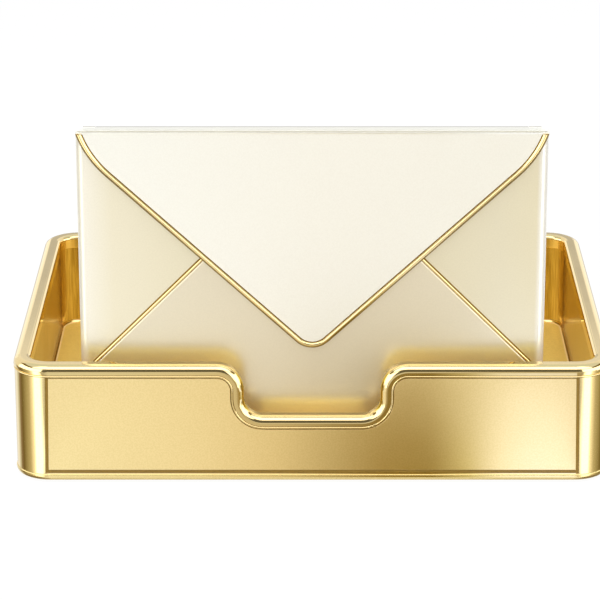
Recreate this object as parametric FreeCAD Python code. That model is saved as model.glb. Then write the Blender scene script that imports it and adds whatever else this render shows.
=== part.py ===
"""Desk letter tray with a notched front and a rigid envelope-shaped letter case.

Frame: millimetres, +X to the right, +Y from the front to the back, +Z up.
Origin: centre of the tray's footprint, on the surface that the rubber feet stand on.

The tray is double-skinned.  A base plate carries an outer shell and an inner liner, and
a rolled rim trim caps both skins and follows the notch in the front wall.  Four posts in
the wall cavity tie the trim down to the base plate.  The letter case stands in a channel
on the tray's floor, lifts straight out, and has a top flap on a hinge pin.
"""
import os
import FreeCAD, Part
from math import cos, radians, sin
from FreeCAD import Vector as V

# Tray: overall size
TRAY_WIDTH = 293.0
TRAY_DEPTH = 219.0
RIM_HEIGHT = 61.0
CORNER_RADIUS = 18.0

# Tray: base plate and feet
FOOT_PROUD = 0.8
FOOT_RADIUS = 8.0
FOOT_THICKNESS = 2.0
FOOT_INSET = 24.0
FOOT_CLEARANCE = 0.1
FOOT_EDGE_RADIUS = 0.4
BASE_THICKNESS = 3.6
BASE_BOTTOM_RADIUS = 2.6
BASE_TOP_RADIUS = 0.5

# Tray: skins, all insets measured inwards from the rim's outer face
SHELL_INSET = 0.4
SHELL_THICKNESS = 1.6
LINER_INSET = 6.6
LINER_THICKNESS = 1.2
FLOOR_LIFT = 4.8
LINER_INNER_FILLET = 2.0
LINER_OUTER_FILLET = 3.2
FASCIA_THICKNESS = 0.4
FASCIA_HALF_WIDTH = 129.3
FASCIA_GAP = 1.6
FASCIA_TAPER = 1.0
FASCIA_TOP_GAP = 0.45
FASCIA_EDGE_RADIUS = 0.15
FILM_THICKNESS = 0.4
FILM_MARGIN = 0.05
SILL_HEIGHT = 0.7

# Rim trim section, s inwards and u upwards from the outer top edge
TRIM_WIDTH = 8.6
TRIM_OUTER_DEPTH = 6.2
TRIM_INNER_DEPTH = 7.2
TRIM_CROWN_RADIUS = 3.6
TRIM_INNER_RADIUS = 2.2
TRIM_LIP_RADIUS = 0.5
TRIM_GROOVE = 0.8
TRIM_GROOVE_DEPTH = 0.6
TONGUE_OUTER = 2.4
TONGUE_INNER = 6.2
TONGUE_DEPTH = 9.4

# Notch in the front wall, measured on the trim's top surface
NOTCH_DEPTH = 26.5
NOTCH_HALF_WIDTH = 33.2
NOTCH_UPPER_RADIUS = 13.4
NOTCH_LOWER_RADIUS = 9.0

# Tie posts and screws
POST_INSET = 4.3
POST_RADIUS = 1.8
SPIGOT_RADIUS = 1.0
SPIGOT_LENGTH = 2.5
TIE_SCREW_RADIUS = 1.0
TIE_SCREW_CLEARANCE = 0.15
TIE_SCREW_ENGAGEMENT = 9.0
TIE_HEAD_RADIUS = 1.9
TIE_HEAD_DEPTH = 1.1
DRIVE_SLOT_WIDTH = 0.6
DRIVE_SLOT_DEPTH = 0.4

# Support pads under the liner's floor
PAD_RADIUS = 6.0
PAD_POSITIONS = ((-105.0, 80.0), (0.0, 80.0), (105.0, 80.0), (-105.0, 0.0), (0.0, 0.0),
                 (105.0, 0.0))

# Channel that holds the letter case, y from the tray's front face
CHANNEL_HALF_LENGTH = 95.0
CHANNEL_WALL = 1.5
CHANNEL_HEIGHT = 18.6
CHANNEL_SIDE_CLEARANCE = 0.3
CHANNEL_END_RADIUS = 7.0
CHANNEL_LEAD_IN = 0.7
STRIP_THICKNESS = 0.7
STRIP_CLEARANCE = 0.2
STRIP_END_GAP = 0.5
CASE_REST_GAP = 0.3
CHANNEL_SCREW_X = (-75.0, -25.0, 25.0, 75.0)
CHANNEL_SCREW_RADIUS = 1.5
CHANNEL_HEAD_RADIUS = 2.8
CHANNEL_SCREW_BITE = 5.0

# Letter case, y from the tray's front face
CASE_WIDTH = 227.0
CASE_HEIGHT = 161.9
CASE_SHEET = 0.9
CASE_FRONT = 17.9
CASE_BACK = 24.9
CASE_CORNER_RADIUS = 2.2
SIDE_FOLD_TOP_GAP = 1.5
THROAT_OUTER_X = 106.0
THROAT_INNER_X = 42.0
SIDE_OVERLAP = 8.5
BOTTOM_FOLD_HALF = 103.5
BOTTOM_FLAP_TOP = 119.0
SEAM_SUM = 162.1
SEAM_EDGE_RADIUS = 0.7
SEAM_BEND_RADIUS = 14.0
BOTTOM_FLAP_HALF = 109.0
SEAM_GAP = 0.25
SEAM_BEAD_RADIUS = 0.55
SEAM_BEAD_HEIGHT = 1.1
SEAM_FILM_THICKNESS = 0.25
SEAM_FILM_MARGIN = 0.6

# Hinge
PIN_RADIUS = 0.8
PIN_RUNNING_CLEARANCE = 0.05
KNUCKLE_RADIUS = 1.6
KNUCKLE_SIDE_GAP = 0.3
KNUCKLE_TOP_GAP = 0.5
EAR_INNER = 104.0

# Top flap, y from the tray's front face
FLAP_BACK = 16.5
FLAP_SHEET = 1.0
FOLD_RADIUS = 0.9
FOLD_PROUD = 0.25
CREASE_RADIUS = 0.45
CREASE_SETBACK = 1.7
FLAP_START_X = 111.6
FLAP_START_DROP = 1.7
FLAP_START_ANGLE = 70.0
FLAP_SIDE_ANGLE = 42.6
FLAP_SHOULDER_RADIUS = 50.0
FLAP_TIP_RADIUS = 10.0
FLAP_BEAD_WIDTH = 2.3
FLAP_BEAD_EDGE = 1.0
FLAP_BEAD_HEIGHT = 2.1
FLAP_FILM_THICKNESS = 0.4
FLAP_FILM_MARGIN = 0.5
FLAP_FILM_UNDERLAP = 0.6

# Derived levels and places
OVERSIZE = 5.0
LEVEL_TOLERANCE = 0.01
X_AXIS, Y_AXIS, Z_AXIS = V(1, 0, 0), V(0, 1, 0), V(0, 0, 1)
FRONT_Y = -TRAY_DEPTH / 2
BASE_TOP = FOOT_PROUD + BASE_THICKNESS
SHELL_TOP = RIM_HEIGHT - TRIM_OUTER_DEPTH
RECESS_BOTTOM = BASE_TOP + SILL_HEIGHT
FASCIA_BACK = SHELL_INSET + FASCIA_THICKNESS
RECESS_BACK = FASCIA_BACK + FILM_THICKNESS
FLOOR_TOP = BASE_TOP + FLOOR_LIFT + LINER_THICKNESS
STRIP_TOP = FLOOR_TOP + CHANNEL_WALL + STRIP_THICKNESS
CASE_BOTTOM = STRIP_TOP + CASE_REST_GAP
CASE_TOP = CASE_BOTTOM + CASE_HEIGHT
CASE_HALF = CASE_WIDTH / 2
BOTTOM_FLAP_FRONT = CASE_FRONT - CASE_SHEET
PIN_Y = FRONT_Y + CASE_BACK - KNUCKLE_RADIUS
PIN_Z = CASE_TOP - KNUCKLE_RADIUS
SEAM_LINE = SEAM_GAP + SEAM_BEAD_RADIUS
SIDE_FOLD_RADIUS = (CASE_BACK - CASE_FRONT) / 2
SIDE_FOLD_X = CASE_HALF - SIDE_FOLD_RADIUS
BOTTOM_FOLD_RADIUS = (CASE_BACK - BOTTOM_FLAP_FRONT) / 2
CHANNEL_FRONT = BOTTOM_FLAP_FRONT - CHANNEL_SIDE_CLEARANCE
CHANNEL_BACK = CASE_BACK + CHANNEL_SIDE_CLEARANCE
CHANNEL_MIDDLE_Y = FRONT_Y + (CHANNEL_FRONT + CHANNEL_BACK) / 2
CORNERS = {"front_left": (-1, -1), "front_right": (1, -1),
           "rear_left": (-1, 1), "rear_right": (1, 1)}


# ---------------------------------------------------------------- geometry helpers

def outline(points, place):
    """Closed face; a point is (a, b), or (a, b, via_a, via_b) to reach it by an arc."""
    edges = []
    start = place(*points[-1][:2])
    for point in points:
        end = place(*point[:2])
        if len(point) == 2:
            edges.append(Part.LineSegment(start, end).toShape())
        else:
            edges.append(Part.Arc(start, place(*point[2:]), end).toShape())
        start = end
    return Part.Face(Part.Wire(edges))


def in_xz(y):
    """Places (x, z) pairs on the plane at this distance behind the tray's front face."""
    return lambda x, z: V(x, FRONT_Y + y, z)


def in_yz(x):
    """Places (distance behind the front face, z) pairs on the plane at x."""
    return lambda y, z: V(x, FRONT_Y + y, z)


def in_xy(z):
    """Places (x, distance behind the front face) pairs on the plane at z."""
    return lambda x, y: V(x, FRONT_Y + y, z)


def plate_xz(points, y_front, y_back):
    """Flat plate with an outline in X and Z, between two distances behind the front."""
    return outline(points, in_xz(y_front)).extrude(Y_AXIS * (y_back - y_front))


def block(x0, x1, y0, y1, z0, z1):
    """Box, with y as the distance behind the tray's front face."""
    return Part.makeBox(x1 - x0, y1 - y0, z1 - z0, V(x0, FRONT_Y + y0, z0))


def rounded_slab(inset, z0, z1):
    """Prism with the tray's plan outline, drawn in by inset."""
    half_w = TRAY_WIDTH / 2 - inset
    half_d = TRAY_DEPTH / 2 - inset
    slab = Part.makeBox(2 * half_w, 2 * half_d, z1 - z0, V(-half_w, -half_d, z0))
    upright = [e for e in slab.Edges
               if e.tangentAt(e.FirstParameter).cross(Z_AXIS).Length < LEVEL_TOLERANCE]
    return slab.makeFillet(CORNER_RADIUS - inset, upright)


def edges_at(shape, z):
    """Edges that lie wholly at one height."""
    low, high = z - LEVEL_TOLERANCE, z + LEVEL_TOLERANCE
    return [edge for edge in shape.Edges if edge.BoundBox.ZMin > low and edge.BoundBox.ZMax < high]


def edges_in_front(shape):
    """Edges that lie wholly in the shape's foremost plane."""
    front = shape.BoundBox.YMin + LEVEL_TOLERANCE
    return [edge for edge in shape.Edges if edge.BoundBox.YMax < front]


def disc(radius, x, y, z0, z1):
    """Upright cylinder; x and y in the part's frame."""
    return Part.makeCylinder(radius, z1 - z0, V(x, y, z0))


def rod(radius, x0, x1, y, z):
    """Cylinder along X; y and z in the part's frame."""
    return Part.makeCylinder(radius, x1 - x0, V(x0, y, z), X_AXIS)


def mirrored(shape):
    """The same piece on the other side of the object's middle plane."""
    return shape.mirror(V(0, 0, 0), X_AXIS)


class Path:
    """A point that travels through space with its side and up directions."""

    def __init__(self, origin, forward, side, up):
        self.origin, self.forward, self.side, self.up = origin, forward, side, up

    def place(self, s, u):
        return self.origin + self.side * s + self.up * u

    def turn(self, direction, radius, angle):
        """Centre and axis of a bend towards direction, or away when angle is negative."""
        centre = self.origin + direction * (radius if angle > 0 else -radius)
        return centre, self.forward.cross(direction)

    def step(self, move):
        """Take one move; returns how a section carried along it is swept."""
        kind, amount, radius = move
        if kind == "run":
            shift = self.forward * amount
            self.origin = self.origin + shift
            return lambda shape: shape.extrude(shift)
        direction = self.side if kind == "bend" else self.up
        centre, axis = self.turn(direction, radius, amount)
        spin = FreeCAD.Rotation(axis, amount)
        self.origin = centre + spin.multVec(self.origin - centre)
        self.forward, self.side, self.up = [spin.multVec(d) for d in (self.forward, self.side, self.up)]
        return lambda shape: shape.revolve(centre, axis, amount)


def sweep(profile, path, moves):
    """One solid: the profile carried along straight runs and tangent bends."""
    pieces = []
    for move in moves:
        section = outline(profile, path.place)
        pieces.append(path.step(move)(section))
    return pieces[0].multiFuse(pieces[1:]).removeSplitter()


def trace(path, moves):
    """Edges of the line that the same moves draw."""
    edges = []
    for move in moves:
        point = Part.Vertex(path.origin)
        edges.append(path.step(move)(point))
    return edges


def on_circle(a, b, radius, degrees):
    return a + radius * cos(radians(degrees)), b + radius * sin(radians(degrees))


# ---------------------------------------------------------------- tray

def notch_cutter(drop, y_front, y_back):
    """Everything above the notched top line, drop below the trim's top surface."""
    top = RIM_HEIGHT - drop
    upper = NOTCH_UPPER_RADIUS - drop
    lower = NOTCH_LOWER_RADIUS + drop
    shoulder = NOTCH_HALF_WIDTH + NOTCH_UPPER_RADIUS
    corner = NOTCH_HALF_WIDTH - NOTCH_LOWER_RADIUS
    upper_z = RIM_HEIGHT - NOTCH_UPPER_RADIUS
    lower_z = RIM_HEIGHT - NOTCH_DEPTH + NOTCH_LOWER_RADIUS
    left = [(-shoulder, top),
            (-shoulder + upper, upper_z) + on_circle(-shoulder, upper_z, upper, 45),
            (-corner - lower, lower_z),
            (-corner, lower_z - lower) + on_circle(-corner, lower_z, lower, 225)]
    right = [(corner, lower_z - lower),
             (corner + lower, lower_z) + on_circle(corner, lower_z, lower, 315),
             (shoulder - upper, upper_z),
             (shoulder, top) + on_circle(shoulder, upper_z, upper, 135)]
    above = RIM_HEIGHT + OVERSIZE
    return plate_xz(left + right + [(shoulder, above), (-shoulder, above)], y_front, y_back)


def trim_profile():
    crown, inner, lip = TRIM_CROWN_RADIUS, TRIM_INNER_RADIUS, TRIM_LIP_RADIUS
    lip_top = -TRIM_OUTER_DEPTH + 2 * lip
    groove_top = lip_top + TRIM_GROOVE
    flat_end = TRIM_WIDTH - inner
    return [(lip, -TRIM_OUTER_DEPTH),
            (lip, lip_top, 0, -TRIM_OUTER_DEPTH + lip),
            (TRIM_GROOVE_DEPTH, lip_top),
            (TRIM_GROOVE_DEPTH, groove_top),
            (0, groove_top),
            (0, -crown),
            (crown, 0) + on_circle(crown, -crown, crown, 135),
            (flat_end, 0),
            (TRIM_WIDTH, -inner) + on_circle(flat_end, -inner, inner, 45),
            (TRIM_WIDTH, -TRIM_INNER_DEPTH + lip),
            (TRIM_WIDTH - lip, -TRIM_INNER_DEPTH)
            + on_circle(TRIM_WIDTH - lip, -TRIM_INNER_DEPTH + lip, lip, 315),
            (TONGUE_INNER, -TRIM_INNER_DEPTH),
            (TONGUE_INNER, -TONGUE_DEPTH),
            (TONGUE_OUTER, -TONGUE_DEPTH),
            (TONGUE_OUTER, -TRIM_OUTER_DEPTH)]


def trim_moves():
    """Once round the rim, from the middle of the notch."""
    corner = NOTCH_HALF_WIDTH - NOTCH_LOWER_RADIUS
    shoulder = NOTCH_HALF_WIDTH + NOTCH_UPPER_RADIUS
    climb = NOTCH_DEPTH - NOTCH_LOWER_RADIUS - NOTCH_UPPER_RADIUS
    front = TRAY_WIDTH / 2 - CORNER_RADIUS - shoulder
    half = [("run", corner, 0), ("roll", 90, NOTCH_LOWER_RADIUS), ("run", climb, 0),
            ("roll", -90, NOTCH_UPPER_RADIUS), ("run", front, 0)]
    back = [("bend", 90, CORNER_RADIUS), ("run", TRAY_DEPTH - 2 * CORNER_RADIUS, 0),
            ("bend", 90, CORNER_RADIUS), ("run", TRAY_WIDTH - 2 * CORNER_RADIUS, 0),
            ("bend", 90, CORNER_RADIUS), ("run", TRAY_DEPTH - 2 * CORNER_RADIUS, 0),
            ("bend", 90, CORNER_RADIUS)]
    return half + back + half[::-1]


def post_place(corner):
    """Plan position of a tie post, on the cavity's middle line at 45 degrees."""
    side_x, side_y = CORNERS[corner]
    reach = (CORNER_RADIUS - POST_INSET) * cos(radians(45)) - CORNER_RADIUS
    return side_x * (TRAY_WIDTH / 2 + reach), side_y * (TRAY_DEPTH / 2 + reach)


def foot_place(corner):
    side_x, side_y = CORNERS[corner]
    return side_x * (TRAY_WIDTH / 2 - FOOT_INSET), side_y * (TRAY_DEPTH / 2 - FOOT_INSET)


def rim_trim():
    path = Path(V(0, FRONT_Y, RIM_HEIGHT - NOTCH_DEPTH), X_AXIS, Y_AXIS, Z_AXIS)
    trim = sweep(trim_profile(), path, trim_moves())
    tongue_bottom = RIM_HEIGHT - TONGUE_DEPTH
    sockets = [disc(SPIGOT_RADIUS, *post_place(c), tongue_bottom, tongue_bottom + SPIGOT_LENGTH)
               for c in CORNERS]
    return trim.cut(sockets)


def front_plate(margin, y_front, y_back):
    """Plate in the shell's front recess, drawn in from the recess by margin at its sides and bottom."""
    half = FASCIA_HALF_WIDTH + FASCIA_GAP - margin
    top_gap = min(margin, FASCIA_TOP_GAP)
    bottom, top, half_top = RECESS_BOTTOM + margin, SHELL_TOP - top_gap, half - FASCIA_TAPER
    plate = plate_xz([(-half, bottom), (half, bottom), (half_top, top), (-half_top, top)], y_front, y_back)
    return plate.cut(notch_cutter(TRIM_OUTER_DEPTH + top_gap, -OVERSIZE, LINER_INSET))


def outer_shell():
    band = rounded_slab(SHELL_INSET, BASE_TOP, SHELL_TOP)
    inside = rounded_slab(SHELL_INSET + SHELL_THICKNESS, BASE_TOP, SHELL_TOP)
    recess = front_plate(0, 0, RECESS_BACK)
    return band.cut([inside, recess, notch_cutter(TRIM_OUTER_DEPTH, -OVERSIZE, LINER_INSET)])


def front_fascia():
    plate = front_plate(FASCIA_GAP, SHELL_INSET, FASCIA_BACK)
    return plate.makeFillet(FASCIA_EDGE_RADIUS, edges_in_front(plate))


def fascia_film():
    """Dark bonding film behind the fascia, seen as the line round its edge."""
    return front_plate(FILM_MARGIN, FASCIA_BACK, RECESS_BACK)


def inner_liner():
    top = RIM_HEIGHT - TRIM_INNER_DEPTH
    underside = BASE_TOP + FLOOR_LIFT
    shell = rounded_slab(LINER_INSET, underside, top)
    shell = shell.makeFillet(LINER_OUTER_FILLET, edges_at(shell, underside))
    hollow = rounded_slab(LINER_INSET + LINER_THICKNESS, FLOOR_TOP, top)
    hollow = hollow.makeFillet(LINER_INNER_FILLET, edges_at(hollow, FLOOR_TOP))
    screw_holes = [disc(CHANNEL_SCREW_RADIUS, x, CHANNEL_MIDDLE_Y, underside, FLOOR_TOP)
                   for x in CHANNEL_SCREW_X]
    notch = notch_cutter(TRIM_INNER_DEPTH, -OVERSIZE, CHANNEL_FRONT)
    return shell.cut([hollow, notch] + screw_holes)


def base_plate():
    plate = rounded_slab(0, FOOT_PROUD, BASE_TOP)
    plate = plate.makeFillet(BASE_BOTTOM_RADIUS, edges_at(plate, FOOT_PROUD))
    plate = plate.makeFillet(BASE_TOP_RADIUS, edges_at(plate, BASE_TOP))
    pad_top = BASE_TOP + FLOOR_LIFT
    pads = [disc(PAD_RADIUS, x, y, BASE_TOP, pad_top) for x, y in PAD_POSITIONS]
    pads += [disc(PAD_RADIUS, x, CHANNEL_MIDDLE_Y, BASE_TOP, pad_top) for x in CHANNEL_SCREW_X]
    holes = [disc(CHANNEL_SCREW_RADIUS, x, CHANNEL_MIDDLE_Y, pad_top - CHANNEL_SCREW_BITE, pad_top)
             for x in CHANNEL_SCREW_X]
    for corner in CORNERS:
        x, y = post_place(corner)
        holes.append(disc(TIE_SCREW_RADIUS + TIE_SCREW_CLEARANCE, x, y, FOOT_PROUD, BASE_TOP))
        holes.append(tie_screw_head(corner))
        holes.append(disc(FOOT_RADIUS + FOOT_CLEARANCE, *foot_place(corner), FOOT_PROUD, FOOT_THICKNESS))
    return plate.fuse(pads).cut(holes)


def foot(corner):
    pad = disc(FOOT_RADIUS, *foot_place(corner), 0, FOOT_THICKNESS)
    return pad.makeFillet(FOOT_EDGE_RADIUS, edges_at(pad, 0))


def corner_post(corner):
    x, y = post_place(corner)
    top = RIM_HEIGHT - TONGUE_DEPTH
    spigot = disc(SPIGOT_RADIUS, x, y, top, top + SPIGOT_LENGTH)
    tapped_hole = disc(TIE_SCREW_RADIUS, x, y, BASE_TOP, BASE_TOP + TIE_SCREW_ENGAGEMENT)
    return disc(POST_RADIUS, x, y, BASE_TOP, top).fuse(spigot).cut(tapped_hole)


def tie_screw_head(corner):
    place = V(*post_place(corner), FOOT_PROUD)
    return Part.makeCone(TIE_HEAD_RADIUS, TIE_SCREW_RADIUS, TIE_HEAD_DEPTH, place)


def tie_screw(corner):
    """Countersunk screw that enters from below, with a straight driver slot."""
    x, y = post_place(corner)
    shank = disc(TIE_SCREW_RADIUS, x, y, FOOT_PROUD, BASE_TOP + TIE_SCREW_ENGAGEMENT)
    slot = Part.makeBox(2 * TIE_HEAD_RADIUS, DRIVE_SLOT_WIDTH, DRIVE_SLOT_DEPTH,
                        V(x - TIE_HEAD_RADIUS, y - DRIVE_SLOT_WIDTH / 2, FOOT_PROUD))
    return tie_screw_head(corner).fuse(shank).cut(slot)


# ---------------------------------------------------------------- channel for the case

def channel_end_shape():
    """Side view of the channel: a long plate with rounded upper corners."""
    top = FLOOR_TOP + CHANNEL_HEIGHT
    half, radius = CHANNEL_HALF_LENGTH, CHANNEL_END_RADIUS
    points = [(-half, FLOOR_TOP), (half, FLOOR_TOP), (half, top - radius),
              (half - radius, top) + on_circle(half - radius, top - radius, radius, 45),
              (radius - half, top),
              (-half, top - radius) + on_circle(radius - half, top - radius, radius, 135)]
    return plate_xz(points, CHANNEL_FRONT - OVERSIZE, CHANNEL_BACK + OVERSIZE)


def envelope_channel():
    front, back, lead = CHANNEL_FRONT, CHANNEL_BACK, CHANNEL_LEAD_IN
    floor, web, top = FLOOR_TOP, FLOOR_TOP + CHANNEL_WALL, FLOOR_TOP + CHANNEL_HEIGHT
    section = [(front - CHANNEL_WALL, floor), (back + CHANNEL_WALL, floor), (back + CHANNEL_WALL, top),
               (back + lead, top), (back, top - lead), (back, web), (front, web),
               (front, top - lead), (front - lead, top), (front - CHANNEL_WALL, top)]
    length = 2 * CHANNEL_HALF_LENGTH
    channel = outline(section, in_yz(-CHANNEL_HALF_LENGTH)).extrude(X_AXIS * length)
    seats = [channel_screw_head(x) for x in CHANNEL_SCREW_X]
    return channel.common(channel_end_shape()).cut(seats)


def channel_screw_head(x):
    """Countersunk head, as deep as the channel's web."""
    return Part.makeCone(CHANNEL_SCREW_RADIUS, CHANNEL_HEAD_RADIUS, CHANNEL_WALL,
                         V(x, CHANNEL_MIDDLE_Y, FLOOR_TOP))


def channel_pad():
    """Rubber strip on the channel's web, under the case's rounded lower edge."""
    half = CHANNEL_HALF_LENGTH - STRIP_END_GAP
    front, back = CHANNEL_FRONT + STRIP_CLEARANCE, CHANNEL_BACK - STRIP_CLEARANCE
    return block(-half, half, front, back, FLOOR_TOP + CHANNEL_WALL, STRIP_TOP)


def channel_screw(x):
    """Countersunk screw through the channel's web and the liner into a base-plate pad."""
    tip = BASE_TOP + FLOOR_LIFT - CHANNEL_SCREW_BITE
    slot_z = FLOOR_TOP + CHANNEL_WALL - DRIVE_SLOT_DEPTH
    shank = disc(CHANNEL_SCREW_RADIUS, x, CHANNEL_MIDDLE_Y, tip, FLOOR_TOP)
    slot = Part.makeBox(2 * CHANNEL_HEAD_RADIUS, DRIVE_SLOT_WIDTH, DRIVE_SLOT_DEPTH,
                        V(x - CHANNEL_HEAD_RADIUS, CHANNEL_MIDDLE_Y - DRIVE_SLOT_WIDTH / 2, slot_z))
    return channel_screw_head(x).fuse(shank).cut(slot)


# ---------------------------------------------------------------- letter case

def case_outline(y_front, y_back):
    """Front view of the case with its upper corners rounded."""
    half, radius = CASE_HALF, CASE_CORNER_RADIUS
    points = [(-half, CASE_BOTTOM), (half, CASE_BOTTOM), (half, CASE_TOP - radius),
              (half - radius, CASE_TOP) + on_circle(half - radius, CASE_TOP - radius, radius, 45),
              (radius - half, CASE_TOP),
              (-half, CASE_TOP - radius) + on_circle(radius - half, CASE_TOP - radius, radius, 135)]
    return plate_xz(points, y_front, y_back)


def right_side_flap():
    """Front sheet with its throat edge, and the half-round fold back to the back panel."""
    x, outer, inner = SIDE_FOLD_X, SIDE_FOLD_RADIUS, SIDE_FOLD_RADIUS - CASE_SHEET
    middle = CASE_FRONT + outer
    bottom, top = CASE_BOTTOM + BOTTOM_FOLD_RADIUS, CASE_TOP - SIDE_FOLD_TOP_GAP
    fold_section = [(x, CASE_FRONT), (x, CASE_BACK, x + outer, middle),
                    (x, CASE_BACK - CASE_SHEET), (x, CASE_FRONT + CASE_SHEET, x + inner, middle)]
    fold = outline(fold_section, in_xy(bottom)).extrude(Z_AXIS * (top - bottom))
    hidden_sum = SEAM_SUM - SIDE_OVERLAP
    sheet = plate_xz([(x, bottom), (x, top), (THROAT_OUTER_X, top), (THROAT_INNER_X, BOTTOM_FLAP_TOP),
                      (THROAT_INNER_X, hidden_sum - THROAT_INNER_X),
                      (BOTTOM_FOLD_HALF, hidden_sum - BOTTOM_FOLD_HALF), (BOTTOM_FOLD_HALF, bottom)],
                     CASE_FRONT, CASE_FRONT + CASE_SHEET)
    return fold.fuse(sheet).common(case_outline(0, CASE_BACK + OVERSIZE)).removeSplitter()


def seam_moves(offset):
    """Right-hand edge of the bottom flap, from its top corner down, moved out by offset."""
    start_x = SEAM_SUM - BOTTOM_FLAP_TOP
    setback = SEAM_BEND_RADIUS * (1 - cos(radians(45)))
    slope_run = (BOTTOM_FLAP_HALF - setback - start_x) / cos(radians(45))
    bend_z = BOTTOM_FLAP_TOP - (BOTTOM_FLAP_HALF - setback - start_x) - SEAM_BEND_RADIUS * sin(radians(45))
    down_run = bend_z - (CASE_BOTTOM + BOTTOM_FOLD_RADIUS)
    return [("run", slope_run, 0), ("bend", 45, SEAM_BEND_RADIUS + offset), ("run", down_run, 0)]


def seam_path(offset, y):
    """Starts at the bottom flap's upper corner; side points into the flap."""
    slant = cos(radians(45))
    start = V(SEAM_SUM - BOTTOM_FLAP_TOP + offset * slant, FRONT_Y + y, BOTTOM_FLAP_TOP + offset * slant)
    return Path(start, V(slant, 0, -slant), V(-slant, 0, -slant), -Y_AXIS)


def bottom_flap():
    """Front sheet, and the half-round fold under the case to the back panel."""
    seam = trace(seam_path(0, BOTTOM_FLAP_FRONT), seam_moves(0))
    left = [mirrored(edge) for edge in seam]
    base_z = CASE_BOTTOM + BOTTOM_FOLD_RADIUS
    place = in_xz(BOTTOM_FLAP_FRONT)
    half_top = SEAM_SUM - BOTTOM_FLAP_TOP
    ends = [Part.LineSegment(place(-half_top, BOTTOM_FLAP_TOP), place(half_top, BOTTOM_FLAP_TOP)).toShape(),
            Part.LineSegment(place(-BOTTOM_FLAP_HALF, base_z), place(BOTTOM_FLAP_HALF, base_z)).toShape()]
    face = Part.Face(Part.Wire(Part.__sortEdges__(seam + left + ends)))
    sheet = face.extrude(Y_AXIS * CASE_SHEET)
    rounded = [edge for edge in edges_in_front(sheet) if edge.BoundBox.ZLength > SEAM_EDGE_RADIUS]
    sheet = sheet.makeFillet(SEAM_EDGE_RADIUS, rounded)
    outer, inner = BOTTOM_FOLD_RADIUS, BOTTOM_FOLD_RADIUS - CASE_SHEET
    middle = BOTTOM_FLAP_FRONT + outer
    fold_section = [(BOTTOM_FLAP_FRONT, base_z), (CASE_BACK, base_z, middle, base_z - outer),
                    (CASE_BACK - CASE_SHEET, base_z), (CASE_FRONT, base_z, middle, base_z - inner)]
    fold = outline(fold_section, in_yz(-BOTTOM_FOLD_HALF)).extrude(X_AXIS * (2 * BOTTOM_FOLD_HALF))
    return sheet.fuse(fold).removeSplitter()


def seam_strip(profile):
    """A section carried down beside the bottom flap's right-hand edge, on the side flap's face."""
    return sweep(profile, seam_path(SEAM_LINE, CASE_FRONT), seam_moves(SEAM_LINE))


def right_seam_film():
    """Dark bonding film under the seam bead, seen as a line on the bead's outer side."""
    outer, inner = -SEAM_BEAD_RADIUS - SEAM_FILM_MARGIN, SEAM_BEAD_RADIUS
    return seam_strip([(outer, 0), (inner, 0), (inner, SEAM_FILM_THICKNESS), (outer, SEAM_FILM_THICKNESS)])


def right_seam_bead():
    radius, height, foot_level = SEAM_BEAD_RADIUS, SEAM_BEAD_HEIGHT, SEAM_FILM_THICKNESS
    return seam_strip([(-radius, foot_level), (radius, foot_level), (radius, height - radius),
                       (-radius, height - radius, 0, height)])


def back_panel():
    top = PIN_Z - KNUCKLE_RADIUS - KNUCKLE_TOP_GAP
    bottom = CASE_BOTTOM + BOTTOM_FOLD_RADIUS
    inside = CASE_BACK - CASE_SHEET
    panel = block(-SIDE_FOLD_X, SIDE_FOLD_X, inside, CASE_BACK, bottom, top)
    ear = block(EAR_INNER, SIDE_FOLD_X, inside, CASE_BACK, top, PIN_Z)
    ear = ear.fuse(rod(KNUCKLE_RADIUS, EAR_INNER, SIDE_FOLD_X, PIN_Y, PIN_Z))
    ear = ear.cut(rod(PIN_RADIUS, EAR_INNER, SIDE_FOLD_X, PIN_Y, PIN_Z))
    return panel.fuse([ear, mirrored(ear)]).removeSplitter()


def hinge_pin():
    return rod(PIN_RADIUS, -SIDE_FOLD_X, SIDE_FOLD_X, PIN_Y, PIN_Z)


# ---------------------------------------------------------------- top flap

def flap_moves():
    """The flap's edge from the left shoulder, round the tip, to the right shoulder."""
    shoulder_turn = FLAP_START_ANGLE - FLAP_SIDE_ANGLE
    shoulder_dx = FLAP_SHOULDER_RADIUS * (sin(radians(FLAP_START_ANGLE)) - sin(radians(FLAP_SIDE_ANGLE)))
    tip_dx = FLAP_TIP_RADIUS * sin(radians(FLAP_SIDE_ANGLE))
    side_run = (FLAP_START_X - shoulder_dx - tip_dx) / cos(radians(FLAP_SIDE_ANGLE))
    shoulder = ("bend", shoulder_turn, FLAP_SHOULDER_RADIUS)
    side = ("run", side_run, 0)
    return [shoulder, side, ("bend", 2 * FLAP_SIDE_ANGLE, FLAP_TIP_RADIUS), side, shoulder]


def flap_path(y, lead):
    """Starts lead millimetres before the left shoulder; side points into the flap."""
    down, across = sin(radians(FLAP_START_ANGLE)), cos(radians(FLAP_START_ANGLE))
    forward = V(across, 0, -down)
    start = V(-FLAP_START_X, FRONT_Y + y, CASE_TOP - FLAP_START_DROP)
    return Path(start - forward * lead, forward, V(down, 0, across), -Y_AXIS)


def flap_strip(profile):
    """A section carried along the flap's edge, from fold to fold; u counts forward from the flap's back."""
    lead = ("run", FLAP_START_DROP, 0)
    strip = sweep(profile, flap_path(FLAP_BACK, FLAP_START_DROP), [lead] + flap_moves() + [lead])
    reach = CASE_HALF + OVERSIZE
    fold_bottom = CASE_TOP - 2 * FOLD_RADIUS
    above = block(-reach, reach, 0, CASE_BACK, fold_bottom, CASE_TOP + OVERSIZE)
    return strip.cut(above).common(case_outline(0, CASE_BACK))


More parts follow.
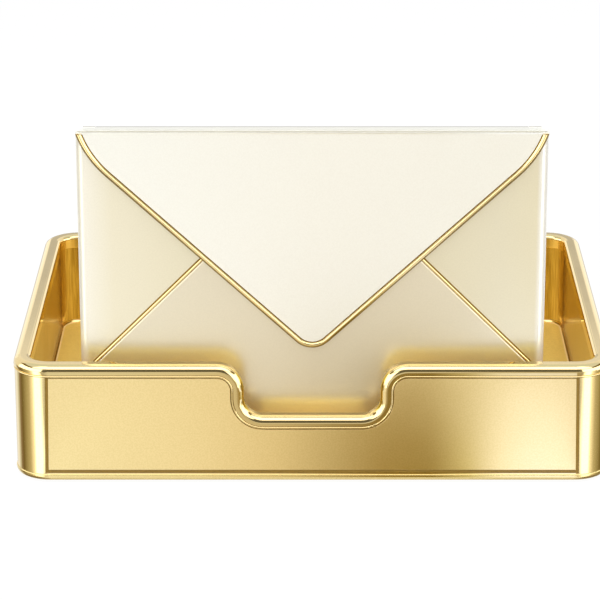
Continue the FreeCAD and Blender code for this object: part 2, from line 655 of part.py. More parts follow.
def flap_bead_film():
    """Dark bonding film under the bead, seen as a line on both of its sides, and rebated into the sheet."""
    edge = FLAP_BEAD_WIDTH / 2 + FLAP_FILM_MARGIN
    inner = edge + FLAP_FILM_UNDERLAP
    return flap_strip([(-edge, 0), (inner, 0), (inner, FLAP_FILM_THICKNESS), (-edge, FLAP_FILM_THICKNESS)])


def flap_edge_bead():
    """Crowned band that follows the flap's edge and stands proud of its face."""
    half, edge, height = FLAP_BEAD_WIDTH / 2, FLAP_BEAD_EDGE, FLAP_BEAD_HEIGHT
    return flap_strip([(-half, FLAP_FILM_THICKNESS), (half, FLAP_FILM_THICKNESS), (half, edge),
                       (-half, edge, 0, height)])


def flap_bead_slot():
    """Clearance in the flap's sheet for the bead and the line beside it."""
    edge = FLAP_BEAD_WIDTH / 2 + FLAP_FILM_MARGIN
    return flap_strip([(-edge, 0), (edge, 0), (edge, FLAP_BEAD_HEIGHT), (-edge, FLAP_BEAD_HEIGHT)])


def flap_sheet():
    front = FLAP_BACK - FLAP_SHEET
    edge = trace(flap_path(front, 0), flap_moves())
    z_edge = CASE_TOP - FLAP_START_DROP
    z_top = CASE_TOP - FOLD_RADIUS
    place = in_xz(front)
    x = FLAP_START_X
    rest = [Part.LineSegment(place(x, z_edge), place(x, z_top)).toShape(),
            Part.LineSegment(place(x, z_top), place(-x, z_top)).toShape(),
            Part.LineSegment(place(-x, z_top), place(-x, z_edge)).toShape()]
    return Part.Face(Part.Wire(Part.__sortEdges__(edge + rest))).extrude(Y_AXIS * FLAP_SHEET)


def top_flap():
    """Front sheet, rolled top fold, strap over the case and the hinge barrel."""
    half, strap_bottom = CASE_HALF, CASE_TOP - FLAP_SHEET
    front = FLAP_BACK - FLAP_SHEET
    fold_y = FRONT_Y + front - FOLD_PROUD + FOLD_RADIUS
    fold = rod(FOLD_RADIUS, -half, half, fold_y, CASE_TOP - FOLD_RADIUS)
    ear_clear = PIN_Y - FRONT_Y - KNUCKLE_RADIUS - KNUCKLE_TOP_GAP
    strap = block(-half, half, front + FOLD_RADIUS / 2, ear_clear, strap_bottom, CASE_TOP)
    barrel_half = EAR_INNER - KNUCKLE_SIDE_GAP
    tail = block(-barrel_half, barrel_half, ear_clear, PIN_Y - FRONT_Y, strap_bottom, CASE_TOP)
    barrel = rod(KNUCKLE_RADIUS, -barrel_half, barrel_half, PIN_Y, PIN_Z)
    flap = flap_sheet().fuse([fold, strap, tail, barrel]).common(case_outline(0, CASE_BACK))
    bore = rod(PIN_RADIUS + PIN_RUNNING_CLEARANCE, -half, half, PIN_Y, PIN_Z)
    crease = rod(CREASE_RADIUS, -half, half, FRONT_Y + front + CREASE_SETBACK, CASE_TOP)
    return flap.cut([bore, crease, flap_bead_slot(), flap_bead_film()]).removeSplitter()


# ---------------------------------------------------------------- the whole object

def build_parts():
    side_flap, seam_film, seam_bead = right_side_flap(), right_seam_film(), right_seam_bead()
    parts = {
        "base_plate": base_plate(),
        "outer_shell": outer_shell(),
        "front_fascia": front_fascia(),
        "fascia_film": fascia_film(),
        "inner_liner": inner_liner(),
        "rim_trim": rim_trim(),
        "tie_screws": Part.makeCompound([tie_screw(corner) for corner in CORNERS]),
        "envelope_channel": envelope_channel(),
        "channel_pad": channel_pad(),
        "channel_screws": Part.makeCompound([channel_screw(x) for x in CHANNEL_SCREW_X]),
        "case_back_panel": back_panel(),
        "case_right_side_flap": side_flap,
        "case_left_side_flap": mirrored(side_flap),
        "case_bottom_flap": bottom_flap(),
        "seam_film_right": seam_film,
        "seam_film_left": mirrored(seam_film),
        "seam_bead_right": seam_bead,
        "seam_bead_left": mirrored(seam_bead),
        "hinge_pin": hinge_pin(),
        "top_flap": top_flap(),
        "flap_bead_film": flap_bead_film(),
        "flap_edge_bead": flap_edge_bead(),
    }
    for corner in CORNERS:
        parts["foot_" + corner] = foot(corner)
        parts["corner_post_" + corner] = corner_post(corner)
    return parts


def main():
    os.makedirs("parts", exist_ok=True)
    for name, shape in build_parts().items():
        shape.exportStep("parts/" + name + ".step")
        print(f"{name:24} solids {len(shape.Solids)} valid {shape.isValid()} mm3 {shape.Volume:10.1f}")


main()
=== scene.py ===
"""Looks for the gold letter tray and its upright envelope-shaped case: materials, stage, camera.

Metres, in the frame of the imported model: +X right, +Y from front to back, +Z up.
The origin lies on the floor.  Every shape comes from the model; only materials are assigned here.
"""
from math import pi

import bpy
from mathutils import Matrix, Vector

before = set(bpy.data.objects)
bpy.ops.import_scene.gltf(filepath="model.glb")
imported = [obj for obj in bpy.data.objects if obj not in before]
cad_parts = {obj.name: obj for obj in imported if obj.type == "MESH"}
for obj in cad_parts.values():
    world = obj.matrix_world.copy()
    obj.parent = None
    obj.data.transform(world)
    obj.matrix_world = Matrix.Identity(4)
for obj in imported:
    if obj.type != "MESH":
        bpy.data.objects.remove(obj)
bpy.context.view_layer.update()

MM = 0.001
MICRON = 0.000001

# camera: where it stands and looks, its lens, and its shift, 12.2 pixels in a picture of 600
CAMERA_AT = (0.0, -1475.71 * MM, 558.90 * MM)
CAMERA_TARGET = (0.0, -36.25 * MM, 69.99 * MM)
LENS_MM = 180.0
SENSOR_MM = 36.0
SHIFT_X = -12.2 / 600

# metals: two colours that the surface is mottled with
GOLD = ((0.84, 0.66, 0.33), (0.87, 0.69, 0.35))
SATIN_GOLD = ((0.825, 0.65, 0.305), (0.875, 0.695, 0.345))
BASE_GOLD = ((0.79, 0.62, 0.28), (0.82, 0.65, 0.30))
ANODISED_GOLD = ((0.49, 0.34, 0.085), (0.68, 0.50, 0.155))
STEEL = ((0.55, 0.55, 0.54), (0.62, 0.62, 0.61))

# rubbers and bonding film: two colours each, one finish for all; the film's brown is partly painted
# shade, standing in for the shadow line of the gap it lies in
BLACK_RUBBER = ((0.02, 0.02, 0.02), (0.03, 0.03, 0.03))
BEIGE_RUBBER = ((0.55, 0.50, 0.38), (0.60, 0.55, 0.43))
FILM_SHADE_BROWN = ((0.25, 0.145, 0.008), (0.28, 0.165, 0.012))
RUBBER_ROUGHNESS = (0.6, 0.7)
RUBBER_GRAIN, RUBBER_DEPTH = 2000.0, 30 * MICRON

# mottle, uneven gloss and grain: features per metre, noise detail, and the noise span in use
MOTTLE_SCALE, MOTTLE_DETAIL, MOTTLE_SPAN = 1300.0, 3.0, (0.35, 0.65)
GLOSS_SCALE, GLOSS_DETAIL, GLOSS_SPAN = 40.0, 4.0, (0.3, 0.7)
GRAIN_DETAIL = 2.0
EVEN_GRAIN = (1.0, 1.0, 1.0)
UPRIGHT_GRAIN = (1.0, 1.0, 0.04)

# how metals are finished: roughness, grain per metre and grain depth
POLISHED = ((0.07, 0.10), 1500.0, 1 * MICRON)
SATIN = ((0.285, 0.32), 900.0, 1 * MICRON)
BASE_SATIN = ((0.19, 0.25), 900.0, 1 * MICRON)
ANODISED = ((0.20, 0.26), 900.0, 2 * MICRON, UPRIGHT_GRAIN)
MACHINED = ((0.25, 0.35), 2500.0, 10 * MICRON)

# tones of the tray, some of them painted shade or a painted highlight: colours, and the spans of
# the surface normal's parts or of the place, in which each comes in or goes out
# painted shade: a darker tone on the rim's front face
RIM_FACE_SHADE, RIM_SHADE_AHEAD = (0.64, 0.50, 0.23), (-0.99, -0.95)
# painted shade: a darker tone on the edge bead's underside
BEAD_UNDER_SHADE, BEAD_SHADE_DOWN = (0.34, 0.26, 0.09), (-0.45, -0.15)
MATT_GOLD, FLOOR_GOLD = (0.87, 0.70, 0.15), (0.99, 0.69, 0.17)
MATT_EXTRA_ROUGHNESS = 0.5
FACING_BACK, FACING_UP = (0.1, 0.3), (0.8, 0.95)
WALL_BACK, WALL_END = (-0.1029, -0.1026), (-0.09, -0.08)
FLOOR_SHARE = 0.65
# painted shade and a painted highlight in the folds between the side walls and the floor
FOLD_UPWARD, FOLD_SOFT = (0.1, 0.25), 0.04
FOLD_SHADE_AND_HIGHLIGHT = (
    ((0.45, 0.98), (0.30, 0.15, 0.015)),
    ((0.08, 0.40), (0.96, 0.70, 0.32)),
)
# painted shade on the notch's upright sides and on the wall's back by its corners
NOTCH_SHADE = (0.40, 0.27, 0.02)
SIDE_FACING, NOTCH_REACH = (0.55, 0.8), (0.045, 0.05)
CORNER_SPAN, CORNER_SOFT, CORNER_TOP = (0.025, 0.040), 0.002, (0.044, 0.056)

# pearl enamel: tones by the share of the case's half width, from its middle outwards, those of the
# side and bottom flaps being painted shading; spans of x for the side folds, of y for the painted
# shade in the creases by the top fold, and of z for where these set in
CASE_HALF = 0.1135
FLAP_TONES = ((0.0, (0.985, 0.97, 0.885)), (1.0, (0.99, 0.985, 0.91)))
# painted shading: the side flaps darker towards the middle and lighter out by the side folds, the
# right one darker than the left
LEFT_PAINTED_SHADING = (
    (0.4, (0.825, 0.76, 0.56)),
    (0.85, (0.905, 0.845, 0.655)),
    (0.96, (0.97, 0.93, 0.80)),
)
RIGHT_PAINTED_SHADING = (
    (0.4, (0.83, 0.765, 0.565)),
    (0.8, (0.85, 0.795, 0.605)),
    (0.955, (0.87, 0.81, 0.60)),
    (0.975, (0.99, 0.97, 0.91)),
)
# painted shade: the bottom flap darker all over
BOTTOM_PAINTED_SHADING = ((0.0, (0.80, 0.72, 0.55)), (0.9, (0.84, 0.775, 0.60)))
PEARL_METALLIC, FLAP_METALLIC, BACK_METALLIC = 0.7, 0.75, 0.15
PEARL_GLOSS, BACK_GLOSS = (0.285, 0.315), (0.42, 0.48)
PEARL_GRAIN, PEARL_DEPTH = 900.0, 0.5 * MICRON
FLECK, FLECK_SHARE = (0.45, 0.40, 0.28), 0.05
SIDE_FOLD, SIDE_FOLD_METALLIC = (0.1085, 0.111), 0.3
# painted shade in the creases by the top fold
CREASE_SHADE_SPANS = ((-0.0965, -0.0937), (-0.0868, -0.08))
CREASE_RISE, CREASE_SOFT, CREASE_SHADE = (0.1742, 0.1745), 0.0003, (0.36, 0.33, 0.26)

# lights: place, target, size and power
OVERHEAD = ((0.0, -0.42, 1.0), (0.0, -0.30, 0.05), (1.8, 1.25), 14.0)
LIP_FILL = ((0.0, -0.06, 0.05), (0.0, -0.1, 0.035), (0.05, 0.02), 0.012)
WHITE = (1.0, 1.0, 1.0, 1.0)
WORLD_LEVEL = 0.5
FLOOR_REACH = 4.0
FLOOR_GREY, FLOOR_ROUGHNESS = (0.9, 0.9, 0.9, 1.0), 0.8
FLOOR_GLOW, FLOOR_GLOW_SHARE = 1.03, 0.92

# studio that the surfaces reflect: a backdrop, a low band over it and panels over both, later
# ones over earlier ones; azimuth in degrees from straight ahead of the tray (both sides alike),
# elevation, softness and colour
BACKDROP = (1.0, 1.0, 1.0)
SOFTBOX = (2.6, 2.6, 2.5)
PANELS = (
    ((60, 200), (45, 120), 5.0, (0.80, 0.87, 0.92)),
    ((-40, 66), (78, 120), 4.0, (0.67, 0.77, 0.85)),
    ((-40, 66), (40, 77), 3.0, SOFTBOX),
    ((-40, 22), (-1, 37), 2.0, (0.16, 0.15, 0.12)),
    ((22, 63), (-4, 32), 2.5, SOFTBOX),
    ((64, 121), (31, 45), 2.0, (0.20, 0.147, 0.055)),
    ((60, 108), (-3, 30), 2.5, SOFTBOX),
    ((40, 150), (-100, -38), 4.0, (0.25, 0.2, 0.12)),
    ((165, 200), (-13, 7), 3.0, (0.45, 0.45, 0.43)),
    ((171, 200), (11, 19.3), 0.6, (0.61, 0.61, 0.62)),
    ((150, 169), (-2, 16), 2.0, (1.25, 1.22, 1.2)),
)
# low band: its elevations, and its colours by azimuth, on either side and ahead (negative: left)
LOW_BAND, LOW_BAND_SOFT = (-38, -6), 2.0
HALF_TURN, FULL_TURN = 180, 360
LOW_BAND_SIDES = (
    (22, (0.62, 0.58, 0.50)),
    (26, (1.0, 1.05, 1.05)),
    (31, SOFTBOX),
    (50, SOFTBOX),
    (56, (1.35, 1.28, 1.1)),
    (71, (0.62, 0.56, 0.38)),
    (82, (0.48, 0.43, 0.25)),
    (95, (0.30, 0.25, 0.12)),
    (103, (0.20, 0.147, 0.055)),
    (115, (0.33, 0.25, 0.17)),
    (122, (0.63, 0.63, 0.55)),
    (137, (1.05, 1.1, 1.2)),
    (150, (1.0, 1.0, 1.0)),
    (168, (0.75, 0.75, 0.73)),
)
LOW_BAND_AHEAD = (
    (-13, (1.04, 1.04, 1.05)),
    (-4, (1.04, 1.04, 1.05)),
    (4, (0.88, 0.80, 0.70)),
    (12, (0.70, 0.60, 0.42)),
)

# card on the floor before the tray: its colours by x hold at CARD_FAN_START in y, and spread
# wider towards the front, by as much again over CARD_FAN
CARD_NEAR, CARD_FAR = -0.112, -0.275
CARD_NEAR_HALF, CARD_FAR_HALF = 0.131, 0.148
CARD_HEIGHT = 0.0004
CARD_FAN, CARD_FAN_START = 1.9, -0.14
CARD_GLOW = 1.7
CARD_COLOURS = (
    (-0.148, (0.67, 0.70, 0.72)),
    (-0.06, (0.61, 0.59, 0.55)),
    (-0.02, (0.52, 0.47, 0.38)),
    (0.01, (0.35, 0.30, 0.20)),
    (0.035, (0.24, 0.18, 0.07)),
    (0.060, (0.21, 0.155, 0.045)),
    (0.078, (0.45, 0.42, 0.27)),
    (0.095, (0.77, 0.80, 0.92)),
    (0.112, (0.81, 0.87, 1.15)),
    (0.148, (0.82, 0.86, 1.05)),
)


# nodes
def set_inputs(node, **values):
    """Sets a node's input sockets by name, with _ for each space."""
    for name, value in values.items():
        node.inputs[name.replace("_", " ")].default_value = value


def shader_of(tree):
    return next(node for node in tree.nodes if node.type == "BSDF_PRINCIPLED")


def new_material(name):
    material = bpy.data.materials.new(name)
    material.use_nodes = True
    return material, material.node_tree, shader_of(material.node_tree)


def math_node(tree, operation, *values):
    node = tree.nodes.new("ShaderNodeMath")
    node.operation = operation
    for socket, value in zip(node.inputs, values):
        if isinstance(value, float):
            socket.default_value = value
        else:
            tree.links.new(value, socket)
    return node.outputs[0]


def size_of(tree, value):
    return math_node(tree, "ABSOLUTE", value)


def product(tree, first, second):
    return math_node(tree, "MULTIPLY", first, second)


def map_range(tree, value, span, low, high, kind="SMOOTHSTEP"):
    """Takes a value within a span to one between low and high."""
    node = tree.nodes.new("ShaderNodeMapRange")
    node.interpolation_type = kind
    start, end = span
    set_inputs(node, From_Min=start, From_Max=end, To_Min=low, To_Max=high)
    tree.links.new(value, node.inputs["Value"])
    return node.outputs["Result"]


def window(tree, value, span, soft):
    """1 inside the span and 0 outside it, with soft edges."""
    low, high = span
    rise = map_range(tree, value, (low - soft, low + soft), 0.0, 1.0)
    fall = map_range(tree, value, (high - soft, high + soft), 1.0, 0.0)
    return product(tree, rise, fall)


def parts_of(tree, coordinate):
    """x, y and z of a texture coordinate, such as Object or Normal."""
    where = tree.nodes.new("ShaderNodeTexCoord")
    split = tree.nodes.new("ShaderNodeSeparateXYZ")
    tree.links.new(where.outputs[coordinate], split.inputs[0])
    return split.outputs


def noise(tree, scale, detail, stretch=EVEN_GRAIN):
    """A noise texture on object coordinates, in features per metre."""
    where = tree.nodes.new("ShaderNodeTexCoord")
    mapping = tree.nodes.new("ShaderNodeMapping")
    texture = tree.nodes.new("ShaderNodeTexNoise")
    set_inputs(mapping, Scale=stretch)
    set_inputs(texture, Scale=scale, Detail=detail)
    tree.links.new(where.outputs["Object"], mapping.inputs["Vector"])
    tree.links.new(mapping.outputs["Vector"], texture.inputs["Vector"])
    return texture.outputs["Fac"]


def ramp(tree, factor, stops):
    node = tree.nodes.new("ShaderNodeValToRGB")
    elements = node.color_ramp.elements
    elements.remove(elements[-1])
    elements[0].position, elements[0].color = stops[0][0], (*stops[0][1], 1.0)
    for position, colour in stops[1:]:
        elements.new(position).color = (*colour, 1.0)
    tree.links.new(factor, node.inputs["Fac"])
    return node.outputs["Color"]


def blend(tree, factor, first, second):
    """Colour mix; each colour is a fixed value or another node's output."""
    node = tree.nodes.new("ShaderNodeMix")
    node.data_type = "RGBA"
    sockets = {socket.identifier: socket for socket in node.inputs}
    tree.links.new(factor, sockets["Factor_Float"])
    for name, colour in (("A_Color", first), ("B_Color", second)):
        if isinstance(colour, tuple):
            sockets[name].default_value = (*colour, 1.0)
        else:
            tree.links.new(colour, sockets[name])
    return next(socket for socket in node.outputs if socket.identifier == "Result_Color")


def bump(tree, height, distance):
    node = tree.nodes.new("ShaderNodeBump")
    set_inputs(node, Strength=1.0, Distance=distance)
    tree.links.new(height, node.inputs["Height"])
    return node.outputs["Normal"]


def source_of(socket):
    """The output that feeds this input socket."""
    return socket.links[0].from_socket


def blend_base(material, share, tone):
    """Blends a tone into the material's base colour by a share."""
    tree = material.node_tree
    base = shader_of(tree).inputs["Base Color"]
    tree.links.new(blend(tree, share, source_of(base), tone), base)


# materials
def mottle(tree, first, second, stretch=EVEN_GRAIN):
    """A faint cloud of two colours."""
    cloud = noise(tree, MOTTLE_SCALE, MOTTLE_DETAIL, stretch)
    return blend(tree, map_range(tree, cloud, MOTTLE_SPAN, 0.0, 1.0), first, second)


def grained(name, metallic, roughness, grain, depth, stretch=EVEN_GRAIN):
    """A surface with uneven gloss and a fine grain."""
    material, tree, shader = new_material(name)
    set_inputs(shader, Metallic=metallic)
    unevenness = noise(tree, GLOSS_SCALE, GLOSS_DETAIL)
    tree.links.new(map_range(tree, unevenness, GLOSS_SPAN, *roughness), shader.inputs["Roughness"])
    relief = bump(tree, noise(tree, grain, GRAIN_DETAIL, stretch), depth)
    tree.links.new(relief, shader.inputs["Normal"])
    return material, tree, shader


def metal(name, colours, roughness, grain, depth, stretch=EVEN_GRAIN):
    material, tree, shader = grained(name, 1.0, roughness, grain, depth, stretch)
    tree.links.new(mottle(tree, *colours, stretch), shader.inputs["Base Color"])
    return material


def rubber(name, colours):
    material, tree, shader = grained(name, 0.0, RUBBER_ROUGHNESS, RUBBER_GRAIN, RUBBER_DEPTH)
    tree.links.new(mottle(tree, *colours), shader.inputs["Base Color"])
    return material


def pearl(name, tones, creases=(), metallic=PEARL_METALLIC, gloss=PEARL_GLOSS):
    """Pearl enamel with tones across the case, painted shade in the creases, and plainer side
    folds.
    """
    material, tree, shader = grained(name, metallic, gloss, PEARL_GRAIN, PEARL_DEPTH)
    x, y, z = parts_of(tree, "Object")
    x = size_of(tree, x)
    colour = ramp(tree, map_range(tree, x, (0.0, CASE_HALF), 0.0, 1.0, "LINEAR"), tones)
    # painted shade along the creases
    for span in creases:
        crease = product(tree, window(tree, y, span, CREASE_SOFT),
                         map_range(tree, z, CREASE_RISE, 0.0, 1.0))
        colour = blend(tree, crease, colour, CREASE_SHADE)
    cloud = noise(tree, MOTTLE_SCALE, MOTTLE_DETAIL)
    fleck = map_range(tree, cloud, MOTTLE_SPAN, 0.0, FLECK_SHARE)
    tree.links.new(blend(tree, fleck, colour, FLECK), shader.inputs["Base Color"])
    folded = map_range(tree, x, SIDE_FOLD, metallic, SIDE_FOLD_METALLIC)
    tree.links.new(folded, shader.inputs["Metallic"])
    return material


def satin_inside(material, tone, floor_share=0.0):
    """Gives the front wall's inner side, and a share of the floor, a matt finish in a tone."""
    tree = material.node_tree
    shader = shader_of(tree)
    _, facing_y, facing_z = parts_of(tree, "Normal")
    y = parts_of(tree, "Object")["Y"]
    matt = map_range(tree, facing_y, FACING_BACK, 0.0, 1.0)
    matt = product(tree, matt, map_range(tree, y, WALL_BACK, 0.0, 1.0))
    matt = product(tree, matt, map_range(tree, y, WALL_END, 1.0, 0.0))
    floor = map_range(tree, facing_z, FACING_UP, 0.0, floor_share)
    matt = math_node(tree, "MAXIMUM", matt, floor)
    metallic = map_range(tree, matt, (0.0, 1.0), 1.0, 0.0, "LINEAR")
    tree.links.new(metallic, shader.inputs["Metallic"])
    roughness = shader.inputs["Roughness"]
    rougher = math_node(tree, "MULTIPLY_ADD", matt, MATT_EXTRA_ROUGHNESS, source_of(roughness))
    tree.links.new(rougher, roughness)
    blend_base(material, matt, tone)
    return material


def paint_fold_shade_and_highlight(material):
    """Paints shade and a highlight into the folds between the side walls and the floor: a painted
    deep line and a painted bright one.
    """
    tree = material.node_tree
    facing_x, _, facing_z = parts_of(tree, "Normal")
    sideways = size_of(tree, facing_x)
    upward = map_range(tree, facing_z, FOLD_UPWARD, 0.0, 1.0)
    for span, tone in FOLD_SHADE_AND_HIGHLIGHT:
        blend_base(material, product(tree, window(tree, sideways, span, FOLD_SOFT), upward), tone)
    return material


def paint_notch_shade(material):
    """Paints shade on the notch's upright sides and on the wall's back by its corners."""
    tree = material.node_tree
    facing_x, facing_y, _ = parts_of(tree, "Normal")
    x, _, z = parts_of(tree, "Object")
    x = size_of(tree, x)
    sideways = map_range(tree, size_of(tree, facing_x), SIDE_FACING, 0.0, 1.0)
    side = product(tree, sideways, map_range(tree, x, NOTCH_REACH, 1.0, 0.0))
    corner = product(tree, window(tree, x, CORNER_SPAN, CORNER_SOFT),
                     map_range(tree, z, CORNER_TOP, 1.0, 0.0))
    corner = product(tree, corner, map_range(tree, facing_y, FACING_BACK, 0.0, 1.0))
    blend_base(material, math_node(tree, "MAXIMUM", side, corner), NOTCH_SHADE)
    return material


def paint_shade_facing(material, axis, span, tone):
    """Paints shade: blends a tone in where the surface normal's part along an axis is below the
    span.
    """
    tree = material.node_tree
    facing = parts_of(tree, "Normal")[axis]
    blend_base(material, map_range(tree, facing, span, 1.0, 0.0), tone)
    return material


def tray_skin():
    """Anodised gold of the liner and the channel, with the tones of its floor: a matt share, and
    painted shade and a painted highlight in its folds.
    """
    skin = metal("gold_anodised", ANODISED_GOLD, *ANODISED)
    return paint_fold_shade_and_highlight(satin_inside(skin, FLOOR_GOLD, FLOOR_SHARE))


def rim_gold_painted_shade():
    """Polished gold of the rim, with painted shade on its front face and beside the notch."""
    rim = paint_shade_facing(metal("rim_gold_painted_shade", GOLD, *POLISHED), "Y", RIM_SHADE_AHEAD, RIM_FACE_SHADE)
    return paint_notch_shade(satin_inside(rim, MATT_GOLD))


def slot_materials():
    """The look of each material that the model names."""
    return {
        "polished_gold": metal("polished_gold", GOLD, *POLISHED),
        "satin_gold": metal("satin_gold", SATIN_GOLD, *SATIN),
        "gold_anodised": tray_skin(),
        "pearl_enamel": pearl("pearl_enamel", FLAP_TONES, CREASE_SHADE_SPANS, FLAP_METALLIC),
        "fastener_steel": metal("fastener_steel", STEEL, *MACHINED),
        # bonding film, whose brown is partly painted shade for the shadow line of its gap
        "bonding_film": rubber("bonding_film", FILM_SHADE_BROWN),
        "strip_rubber": rubber("strip_rubber", BEIGE_RUBBER),
        "black_rubber": rubber("black_rubber", BLACK_RUBBER),
    }


def node_materials(by_slot):
    """The looks of single nodes that differ from their material's own."""
    edge_gold_painted_shade = metal("edge_gold_painted_shade", GOLD, *POLISHED)
    back_crease_shade = CREASE_SHADE_SPANS[1:]
    return {
        "outer_shell": by_slot["polished_gold"],
        "base_plate": metal("base_gold", BASE_GOLD, *BASE_SATIN),
        "rim_trim": rim_gold_painted_shade(),
        # the edge bead, with painted shade on its underside
        "flap_edge_bead": paint_shade_facing(edge_gold_painted_shade, "Z", BEAD_SHADE_DOWN, BEAD_UNDER_SHADE),
        "case_back_panel": pearl("back_pearl", FLAP_TONES, back_crease_shade, BACK_METALLIC, BACK_GLOSS),
        # side and bottom flaps: lit and shaded copies of the pearl enamel, in painted shading
        "case_left_side_flap": pearl("left_pearl_painted_shading", LEFT_PAINTED_SHADING),
        "case_right_side_flap": pearl("right_pearl_painted_shading", RIGHT_PAINTED_SHADING),
        "case_bottom_flap": pearl("bottom_pearl_painted_shading", BOTTOM_PAINTED_SHADING),
    }


def dress():
    """Assigns a look to every material slot of the model's nodes."""
    by_slot = slot_materials()
    by_node = node_materials(by_slot)
    for name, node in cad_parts.items():
        for slot in node.material_slots:
            slot_name = slot.material.name.split(".")[0]
            slot.material = by_node.get(name) or by_slot[slot_name]


# stage
def seen_directly(tree):
    """1 for rays that show the background itself: camera, glossy and transmission rays."""
    path = tree.nodes.new("ShaderNodeLightPath")
    first = math_node(tree, "MAXIMUM", path.outputs["Is Camera Ray"], path.outputs["Is Glossy Ray"])
    return math_node(tree, "MAXIMUM", first, path.outputs["Is Transmission Ray"])


def add_sheet(name, corners, material):
    """A flat stage piece through these corners."""
    mesh = bpy.data.meshes.new(name)
    mesh.from_pydata(corners, [], [tuple(range(len(corners)))])
    mesh.materials.append(material)
    sheet = bpy.data.objects.new(name, mesh)
    bpy.context.scene.collection.objects.link(sheet)
    return sheet


def make_floor():
    """A floor that looks white and keeps a trace of the object's shadow."""
    material, tree, shader = new_material("studio_floor")
    set_inputs(shader, Base_Color=FLOOR_GREY, Roughness=FLOOR_ROUGHNESS)
    glow = tree.nodes.new("ShaderNodeEmission")
    set_inputs(glow, Strength=FLOOR_GLOW)
    mix = tree.nodes.new("ShaderNodeMixShader")
    tree.links.new(product(tree, seen_directly(tree), FLOOR_GLOW_SHARE), mix.inputs["Fac"])
    tree.links.new(shader.outputs[0], mix.inputs[1])
    tree.links.new(glow.outputs[0], mix.inputs[2])
    tree.links.new(mix.outputs[0], tree.nodes["Material Output"].inputs["Surface"])
    reach = FLOOR_REACH
    floor = add_sheet("studio_floor", [
        (-reach, -reach, 0.0),
        (reach, -reach, 0.0),
        (reach, reach, 0.0),
        (-reach, reach, 0.0),
    ], material)
    floor.visible_glossy = False


def studio_around(tree):
    """What reflections see in each direction: the studio's softboxes, flags and backdrop."""
    x, y, z = parts_of(tree, "Generated")
    turn = math_node(tree, "ARCTAN2", x, product(tree, y, -1.0))
    azimuth = math_node(tree, "DEGREES", size_of(tree, turn))
    elevation = math_node(tree, "DEGREES", math_node(tree, "ARCSINE", z))
    # the low band's ramp runs once round, from behind by the left and ahead to behind again
    left = [(-degrees, tint) for degrees, tint in reversed(LOW_BAND_SIDES)]
    band = [*left, *LOW_BAND_AHEAD, *LOW_BAND_SIDES]
    stops = [((degrees + HALF_TURN) / FULL_TURN, tint) for degrees, tint in band]
    low = ramp(tree, math_node(tree, "MULTIPLY_ADD", turn, 0.5 / pi, 0.5), stops)
    seen = blend(tree, window(tree, elevation, LOW_BAND, LOW_BAND_SOFT), BACKDROP, low)
    for azimuths, elevations, soft, tint in PANELS:
        inside = product(tree, window(tree, azimuth, azimuths, soft),
                         window(tree, elevation, elevations, soft))
        seen = blend(tree, inside, seen, tint)
    return seen


def make_world():
    """Plain light all round, white where it is seen, and the studio for reflections."""
    world = bpy.data.worlds.new("studio")
    bpy.context.scene.world = world
    world.use_nodes = True
    tree = world.node_tree
    plain = tree.nodes["Background"]
    set_inputs(plain, Color=WHITE)
    strength = map_range(tree, seen_directly(tree), (0.0, 1.0), WORLD_LEVEL, 1.0)
    tree.links.new(strength, plain.inputs["Strength"])
    around = tree.nodes.new("ShaderNodeBackground")
    tree.links.new(studio_around(tree), around.inputs["Color"])
    path = tree.nodes.new("ShaderNodeLightPath")
    mix = tree.nodes.new("ShaderNodeMixShader")
    tree.links.new(path.outputs["Is Glossy Ray"], mix.inputs["Fac"])
    tree.links.new(plain.outputs[0], mix.inputs[1])
    tree.links.new(around.outputs[0], mix.inputs[2])
    tree.links.new(mix.outputs[0], tree.nodes["World Output"].inputs["Surface"])
    world.cycles.sampling_method = "NONE"


def turned_to(at, target):
    """Rotation that points an object's -Z axis from one place to another."""
    return (Vector(target) - Vector(at)).to_track_quat("-Z", "Y").to_euler()


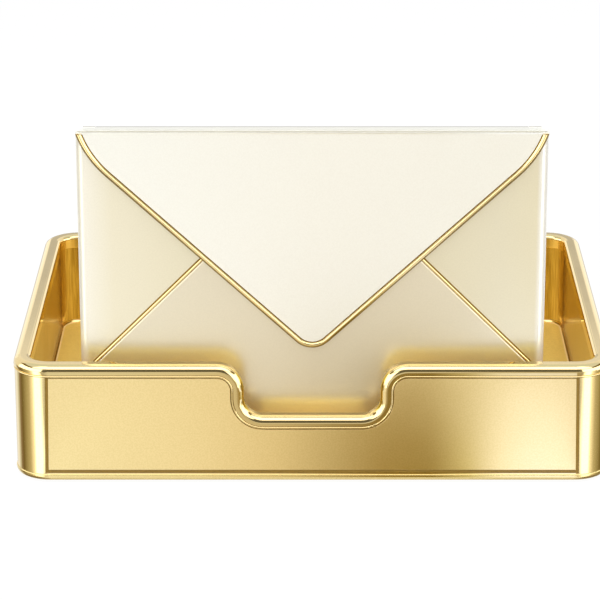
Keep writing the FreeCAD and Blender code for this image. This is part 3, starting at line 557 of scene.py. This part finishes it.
def area_light(name, at, target, size, power):
    """A rectangular lamp that reflections don't show."""
    data = bpy.data.lights.new(name, "AREA")
    data.shape = "RECTANGLE"
    data.size, data.size_y = size
    data.energy = power
    lamp = bpy.data.objects.new(name, data)
    bpy.context.scene.collection.objects.link(lamp)
    lamp.location = at
    lamp.rotation_euler = turned_to(at, target)
    lamp.visible_glossy = False
    return lamp


def light_only(lamp, names):
    """The lamp lights these nodes alone, and only they shade it."""
    group = bpy.data.collections.new(lamp.name + "_targets")
    for name in names:
        group.objects.link(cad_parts[name])
    lamp.light_linking.receiver_collection = group
    lamp.light_linking.blocker_collection = group


def make_card():
    """Card on the floor that only reflections see: light and shade across the front wall."""
    material, tree, _ = new_material("front_card")
    left, right = CARD_COLOURS[0][0], CARD_COLOURS[-1][0]
    x, y, _ = parts_of(tree, "Object")
    spread = math_node(tree, "MULTIPLY_ADD", y, -1.0 / CARD_FAN, 1.0 + CARD_FAN_START / CARD_FAN)
    fan = math_node(tree, "DIVIDE", x, spread)
    across = map_range(tree, fan, (left, right), 0.0, 1.0, "LINEAR")
    stops = [((place - left) / (right - left), colour) for place, colour in CARD_COLOURS]
    glow = tree.nodes.new("ShaderNodeEmission")
    tree.links.new(ramp(tree, across, stops), glow.inputs["Color"])
    set_inputs(glow, Strength=CARD_GLOW)
    tree.links.new(glow.outputs[0], tree.nodes["Material Output"].inputs["Surface"])
    near, far, height = CARD_NEAR_HALF, CARD_FAR_HALF, CARD_HEIGHT
    card = add_sheet("front_card", [
        (-near, CARD_NEAR, height),
        (-far, CARD_FAR, height),
        (far, CARD_FAR, height),
        (near, CARD_NEAR, height),
    ], material)
    card.visible_camera = False
    card.visible_diffuse = False
    card.visible_shadow = False
    card.visible_transmission = False


def add_camera():
    data = bpy.data.cameras.new("camera")
    data.lens = LENS_MM
    data.sensor_width = SENSOR_MM
    data.shift_x = SHIFT_X
    camera = bpy.data.objects.new("camera", data)
    camera.location = CAMERA_AT
    camera.rotation_euler = turned_to(CAMERA_AT, CAMERA_TARGET)
    bpy.context.scene.collection.objects.link(camera)
    bpy.context.scene.camera = camera


dress()
make_floor()
make_world()
area_light("overhead_softbox", *OVERHEAD)
light_only(area_light("lip_fill", *LIP_FILL), ("rim_trim", "inner_liner"))
make_card()
add_camera()
bpy.context.scene.view_settings.view_transform = "Standard"
